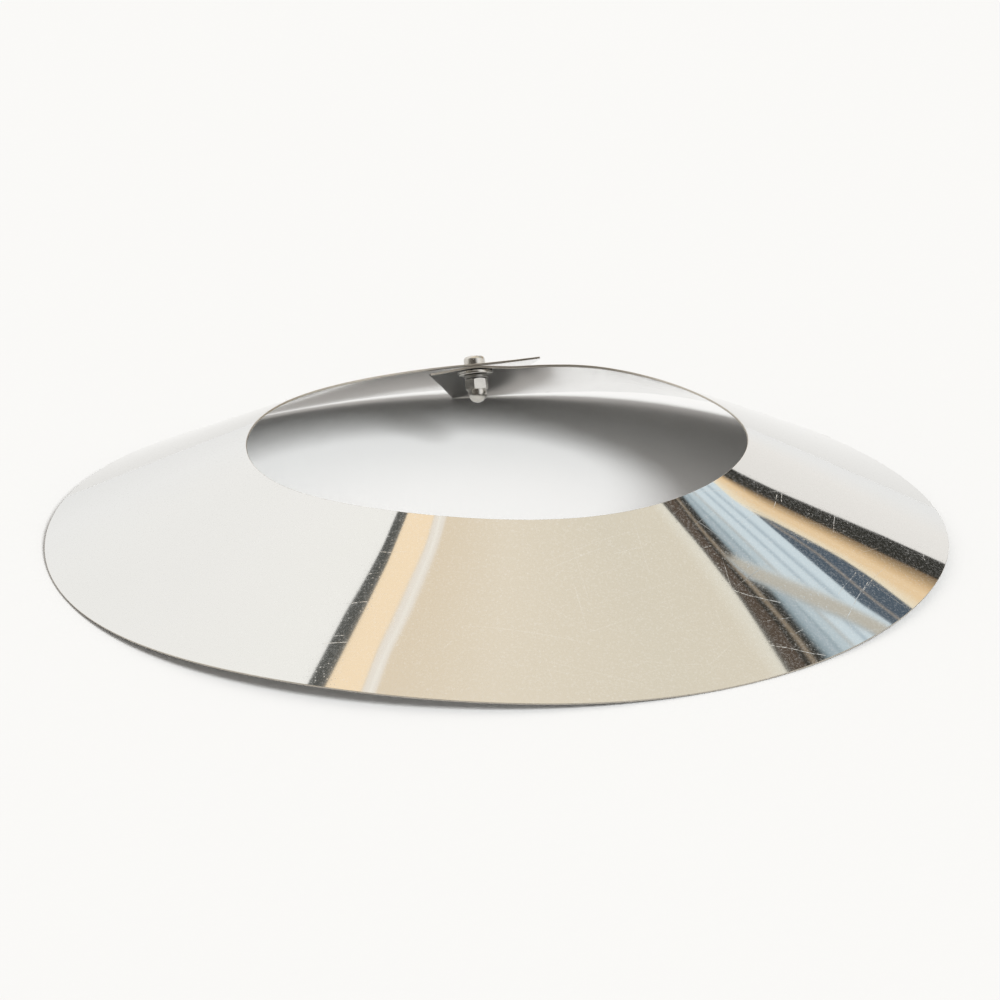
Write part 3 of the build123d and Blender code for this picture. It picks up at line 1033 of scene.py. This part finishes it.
# The cards between the edges: name, first edge, second edge, colours across, how near it stands, and
# the share that it starts at if it isn't the whole way. An edge may be moved by some degrees.
ROOM_CARDS = (
    ("dark_frame", "frame_left", "frame_right", "dark dark dark smoke", 0, None),
    ("peach_wall", "frame_right", "peach_end", "peach peach", 0, None),
    ("pale_strip_left", "peach_end", "pale_peak", "cream chalk chalk chalk pale", 0, None),
    ("pale_strip_right", "pale_peak", "cream_start", "pale chalk chalk cream", 0, None),
    ("cream_wall", "cream_start", "sand_line", "cream sand", 0, None),
    ("sand_wall", "sand_line", "stone_line", "sand stone", 0, None),
    ("stone_wall", "stone_line", "mist_line", "stone stone", 0, None),
    ("mist_wall", "mist_line", "brown_start", "stone mist", 0, None),
    ("brown_frame", "brown_start", "brown_end", "dark brown brown brown", 0, None),
    ("black_gap", "brown_end", "tan_start", "black black", 0, None),
    ("tan_strip", "tan_start", "tan_end", "black tan tan black", 0, None),
    ("black_frame", "tan_end", "sky_start", "black black", 0, None),
    ("sky_edge", "sky_start", "sky_full", "black slate dull_sky", 0, None),
    ("sky_1", "sky_full", "streak_1", "dull_sky dull_sky slate", 0, None),
    ("sky_2", "streak_1", "streak_2", "slate far_sky far_sky far_sky rosy_bar", 0, None),
    ("sky_3", "streak_2", "streak_3", "rosy_bar sky sky sky bar", 0, None),
    ("sky_4", "streak_3", "streak_4", "bar sky sky sky bar", 0, None),
    ("sky_5", "streak_4", "sky_end", "bar sky sky sky", 0, None),
    ("haze_curtain", ("haze_low", -0.6), ("haze_top", 0.6), "dull_sky haze haze haze sky", 1, 0.36),
    ("navy_low", "sky_end", "navy_line", "navy navy", 1, 0.22),
    ("navy_high", "navy_line", "navy_peak", "navy navy", 1, 0.22),
    ("navy_seam", ("navy_line", -0.35), ("navy_line", 0.35), "navy seam seam navy", 2, 0.3),
    ("apricot_wall", "peach_low", "ivory_line", "ivory apricot", 0, None),
    ("amber_wall", "ivory_line", "black_low", "apricot apricot amber copper umber", 0, None),
    ("black_beam", "black_low", "black_top", "black black", 1, None),
)

# Shares of the way down the sheet where a card has its rows: inside the hole's rim, on the sheet and
# beyond the wide rim, so that the mirrored card goes on past the sheet
INSIDE_SHARES, SHARE_STEP, OUTSIDE_SHARES = (-5, -3, -1.5, -0.6, -0.2), 0.05, (1.2, 1.6, 2.5, 4, 6)
# How much nearer to the sheet a card stands for each step that it is nearer, in metres
CARD_APART = 0.02


def mirrored(sheet, eye, share, azimuth, radius):
    """Where the room is that the camera sees at a place of the sheet, at a distance from the middle."""
    place = sheet.sizes.start_azimuth - azimuth
    reach = sheet.hole_reach + share * (sheet.rim_reach - sheet.hole_reach)
    point, normal = sheet.point(place, reach, 0), sheet.normal(place, reach)
    ray = (point - eye).normalized()
    ray -= 2 * ray.dot(normal) * normal
    along = point.dot(ray)
    return point + ray * (sqrt(along * along - point.dot(point) + radius * radius) - along)


def mixed_tint(first, second, part):
    """The tint a part of the way from one to another."""
    return tuple(a + (b - a) * part for a, b in zip(first, second))


def blended(stops, at):
    """The tint at a value among stops of named colours."""
    first, second, part = between(stops, at)
    return mixed_tint(ROOM_COLOURS[first], ROOM_COLOURS[second], part)


def card_edge(edge, share):
    """Azimuth at a share of an edge, given by its name or by its name and a shift in degrees."""
    name, shift = (edge, 0.0) if isinstance(edge, str) else edge
    before, after, part = between(ROOM_EDGES[name], share)
    return radians(before + (after - before) * part + shift)


def card_mesh(sheet, eye, card, radius, columns=8):
    """A long card between two edges, bent to where the sheet mirrors it."""
    name, first, second, colours, nearer, start = card
    colours = colours.split()
    stops = [(index / (len(colours) - 1), colour) for index, colour in enumerate(colours)]
    on_sheet = [share for share in sheet.places(0, 1, SHARE_STEP) if start is None or share > start]
    shares = [*(INSIDE_SHARES if start is None else (start,)), *on_sheet, *OUTSIDE_SHARES]
    work = bmesh.new()
    tint = work.verts.layers.float_color.new("tint")
    rows = []
    for share in shares:
        from_azimuth, to_azimuth = card_edge(first, share), card_edge(second, share)
        row = []
        for column in range(columns + 1):
            part = column / columns
            azimuth = from_azimuth + (to_azimuth - from_azimuth) * part
            at = mirrored(sheet, eye, share, azimuth, radius - CARD_APART * nearer)
            row.append(work.verts.new(at))
            row[-1][tint] = shade(blended(stops, part))
        rows.append(row)
    for before, after in zip(rows, rows[1:]):
        for column in range(columns):
            work.faces.new((before[column], before[column + 1], after[column + 1], after[column]))
    return mesh_from(work, name, facing_out=False)


# The tent's cloth, by height over the horizon in degrees, at the back and left and at the back right,
# and the darker room in front of it, by azimuth
TENT_BACK = (
    (0, "horizon"), (3, "hem"), (11, "low_cloth"), (20, "mid_cloth"), (38, "high_cloth"), (60, "white"),
)
TENT_RIGHT = ((0, "horizon"), (3, "hem"), (9, "right_cloth"), (30, "right_cloth"), (60, "white"))
ROOM_FRONT = (
    (-180, "white"), (-150, "dusk"), (-110, "dim"), (-75, "dim"), (-50, "window"), (0, "white"),
)
# Azimuth where the right's cloth ends and the turn that it fades over, then the height where the room
# in front ends and the turn that it fades over, in degrees, and how far forward it is whole
RIGHT_END, RIGHT_FADE, FRONT_TOP, FRONT_FADE, FRONT_WHOLE = 95, 25, 62, 20, 0.25


def tent_tint(towards):
    """Colour of the tent in a direction: pale at the back and above, with a dim room in front."""
    height, azimuth = degrees(asin(towards.z)), degrees(atan2(towards.y, towards.x))
    to_right = clamped((RIGHT_END - abs(azimuth)) / RIGHT_FADE)
    cloth = mixed_tint(blended(TENT_BACK, height), blended(TENT_RIGHT, height), to_right)
    forward = clamped(-towards.y / FRONT_WHOLE) * clamped((FRONT_TOP - height) / FRONT_FADE)
    return mixed_tint(cloth, blended(ROOM_FRONT, azimuth), forward)


def tent_mesh(radius):
    """The inside of the bright tent: a ball round the table, finely divided for its tints."""
    work = bmesh.new()
    bmesh.ops.create_uvsphere(work, u_segments=96, v_segments=120, radius=radius)
    tint = work.verts.layers.float_color.new("tint")
    for vertex in work.verts:
        vertex[tint] = shade(tent_tint(vertex.co.normalized()))
    return mesh_from(work, "tent", facing_out=False)


def floor_mesh(radius):
    """A square table top, large enough to meet the tent."""
    work = bmesh.new()
    bmesh.ops.create_grid(work, x_segments=8, y_segments=8, size=radius)
    return mesh_from(work, "floor", facing_out=False)


def glow(name):
    """Cloth that gives even light, coloured by its mesh's tint."""
    finish = Finish(name)
    tint = finish.node("ShaderNodeAttribute", {"attribute_type": "GEOMETRY", "attribute_name": "tint"})
    return finish.surface("ShaderNodeEmission", {"Color": finish.value(tint, "Color"), "Strength": 1.0})


def pale_floor(settings):
    """Pale matte table top."""
    finish = Finish("pale_floor")
    cloud = finish.noise(finish.place, 3.0, 3.0)
    grain = finish.noise(finish.place, 240.0, 3.0)
    return finish.surface("ShaderNodeBsdfPrincipled", {
        "Base Color": finish.toned(cloud, settings.floor_tint, 0.993, 1.004), "Roughness": 0.85,
        "Specular IOR Level": 0.0, "Normal": finish.bump(grain, 0.00002)})


def stage_piece(name, mesh, material, mirror_only=False):
    """Puts a mesh in the scene as part of the stage; a mirror-only one is seen in reflections alone."""
    piece = bpy.data.objects.new(name, mesh)
    mesh.materials.append(material)
    bpy.context.scene.collection.objects.link(piece)
    if mirror_only:
        for ray in ("camera", "diffuse", "shadow", "transmission", "volume_scatter"):
            setattr(piece, f"visible_{ray}", False)
    piece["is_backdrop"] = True
    return piece


# Width of the camera's sensor in millimetres, which its focal length goes with
SENSOR_WIDTH = 36


def add_camera(scene, settings):
    """Puts the camera where the photograph was taken from, and gives that place."""
    elevation, roll = settings.camera_elevation, settings.camera_roll
    middle = Vector((0, 0, settings.look_height))
    eye = middle + Vector((0, -cos(elevation), sin(elevation))) * settings.camera_distance
    low = Vector((0, sin(elevation), cos(elevation))) * settings.aim_low
    back = (eye - (middle + Vector((settings.aim_right, 0, 0)) - low)).normalized()
    side = Vector((0, 0, 1)).cross(back).normalized()
    up = back.cross(side)
    level = side * cos(roll) + up * sin(roll), up * cos(roll) - side * sin(roll)
    lens = bpy.data.cameras.new("camera")
    lens.sensor_width = SENSOR_WIDTH
    lens.lens = settings.camera_lens
    camera = bpy.data.objects.new("camera", lens)
    camera.matrix_world = Matrix.Translation(eye) @ Matrix((*level, back)).transposed().to_4x4()
    scene.collection.objects.link(camera)
    scene.camera = camera
    return eye


def add_lights(scene, settings):
    """Adds the soft key light, which nothing mirrors, and the even fill."""
    sun = bpy.data.lights.new("key_light", "SUN")
    sun.energy = settings.key_strength
    sun.angle = settings.key_size
    sun.color = settings.key_tint
    key = bpy.data.objects.new("key_light", sun)
    level, height = cos(settings.key_elevation), sin(settings.key_elevation)
    towards = Vector(around(level, settings.key_azimuth, height))
    key.rotation_euler = towards.to_track_quat("Z", "Y").to_euler()
    key.visible_glossy = False
    scene.collection.objects.link(key)
    scene.world = bpy.data.worlds.new("fill_light")
    scene.world.use_nodes = True
    fill = scene.world.node_tree.nodes["Background"].inputs
    fill["Color"].default_value = shade(settings.fill_tint)
    fill["Strength"].default_value = settings.fill_strength


class ROSETTE_OT_sheet(bpy.types.Operator):
    """Adds the bright rolled sheet, with its rounded edges and its screw holes"""

    bl_idname = "rosette.sheet"
    bl_label = "Rolled Sheet"

    def execute(self, context):
        finish = context.scene.rosette_sheet_finish
        materials = (bright_sheet(finish), sheared_edge(finish))
        mesh = sheet_mesh(RolledSheet(context.scene.rosette_sheet_sizes))
        add_piece("rosette_skin", mesh, materials, "rosette_sheet")
        return {"FINISHED"}


class ROSETTE_OT_fasteners(bpy.types.Operator):
    """Adds the lap screw, the flat washer, the split washer and the cap nut"""

    bl_idname = "rosette.fasteners"
    bl_label = "Lap Fasteners"

    def execute(self, context):
        scene = context.scene
        sizes, sheet = scene.rosette_fastener_sizes, RolledSheet(scene.rosette_sheet_sizes)
        place, gap = sheet.sizes.screw_place, sizes.seat_clearance
        outer_skin = sheet.seat_heights(place + 2 * pi, 0, sizes.head_diameter / 2)
        inner_skin = sheet.seat_heights(place, sheet.sizes.thickness, sizes.washer_diameter / 2)
        head_seat, washer_seat = max(outer_skin) + gap, min(inner_skin) - gap
        spring_seat = washer_seat - sizes.washer_thickness - gap
        nut_seat = spring_seat - sizes.spring_height - gap
        plated = plated_steel(scene.rosette_fastener_finish)
        spring = spring_steel(scene.rosette_fastener_finish)
        for mesh, seat, material, node, slot in (
            (screw_mesh(sizes), head_seat, plated, "lap_screw", "fastener_steel"),
            (flat_washer_mesh(sizes), washer_seat, plated, "flat_washer", "fastener_steel"),
            (spring_washer_mesh(sizes), spring_seat, spring, "spring_washer", "spring_steel"),
            (cap_nut_mesh(sizes), nut_seat, plated, "cap_nut", "fastener_steel"),
        ):
            mesh.transform(sheet.screw_frame() @ Matrix.Translation((0, 0, seat)))
            add_piece(mesh.name, mesh, (material,), node)
        return {"FINISHED"}


class ROSETTE_OT_stage(bpy.types.Operator):
    """Sets the pale floor, the lights, the room that the sheet mirrors, and the camera"""

    bl_idname = "rosette.stage"
    bl_label = "Studio"

    def execute(self, context):
        scene, settings = context.scene, context.scene.rosette_studio
        eye = add_camera(scene, settings)
        scene.view_settings.view_transform = "Standard"
        floor = stage_piece("floor", floor_mesh(settings.room_radius), pale_floor(settings))
        floor.location.z = min(0.0, cad_box[0][2])
        add_lights(scene, settings)
        tent = stage_piece(
            "tent", tent_mesh(settings.room_radius), glow("tent_cloth"), mirror_only=True)
        tent.visible_camera = True
        sheet, card_cloth = RolledSheet(scene.rosette_sheet_sizes), glow("card_cloth")
        for card in ROOM_CARDS:
            mesh = card_mesh(sheet, eye, card, settings.card_radius)
            stage_piece(mesh.name, mesh, card_cloth, mirror_only=True)
        return {"FINISHED"}


class ROSETTE_PT_panel(bpy.types.Panel):
    """Lists the steps that dress the rosette"""

    bl_idname = "ROSETTE_PT_panel"
    bl_label = "Ceiling Rosette"
    bl_space_type = "VIEW_3D"
    bl_region_type = "UI"
    bl_category = "Rosette"

    def draw(self, _context):
        for step in STEPS:
            self.layout.operator(step.bl_idname)


STEPS = (ROSETTE_OT_sheet, ROSETTE_OT_fasteners, ROSETTE_OT_stage)
SETTINGS = {
    "rosette_sheet_sizes": SheetSizes,
    "rosette_sheet_finish": SheetFinish,
    "rosette_fastener_sizes": FastenerSizes,
    "rosette_fastener_finish": FastenerFinish,
    "rosette_studio": StudioSettings,
}


def register():
    """Registers the settings, the steps and the panel."""
    for kind in (*SETTINGS.values(), *STEPS, ROSETTE_PT_panel):
        bpy.utils.register_class(kind)
    for name, kind in SETTINGS.items():
        setattr(bpy.types.Scene, name, bpy.props.PointerProperty(type=kind))


def unregister():
    """Takes away what register adds."""
    for name in SETTINGS:
        delattr(bpy.types.Scene, name)
    for kind in (ROSETTE_PT_panel, *STEPS, *SETTINGS.values()):
        bpy.utils.unregister_class(kind)


def main():
    """Runs the steps in order."""
    register()
    for step in STEPS:
        group, name = step.bl_idname.split(".")
        getattr(getattr(bpy.ops, group), name)()
    boxes = {"cad": cad_box, "visual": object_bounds()}
    boxes = {name: [list(corner) for corner in box] for name, box in boxes.items()}


if __name__ == "__main__":
    main()
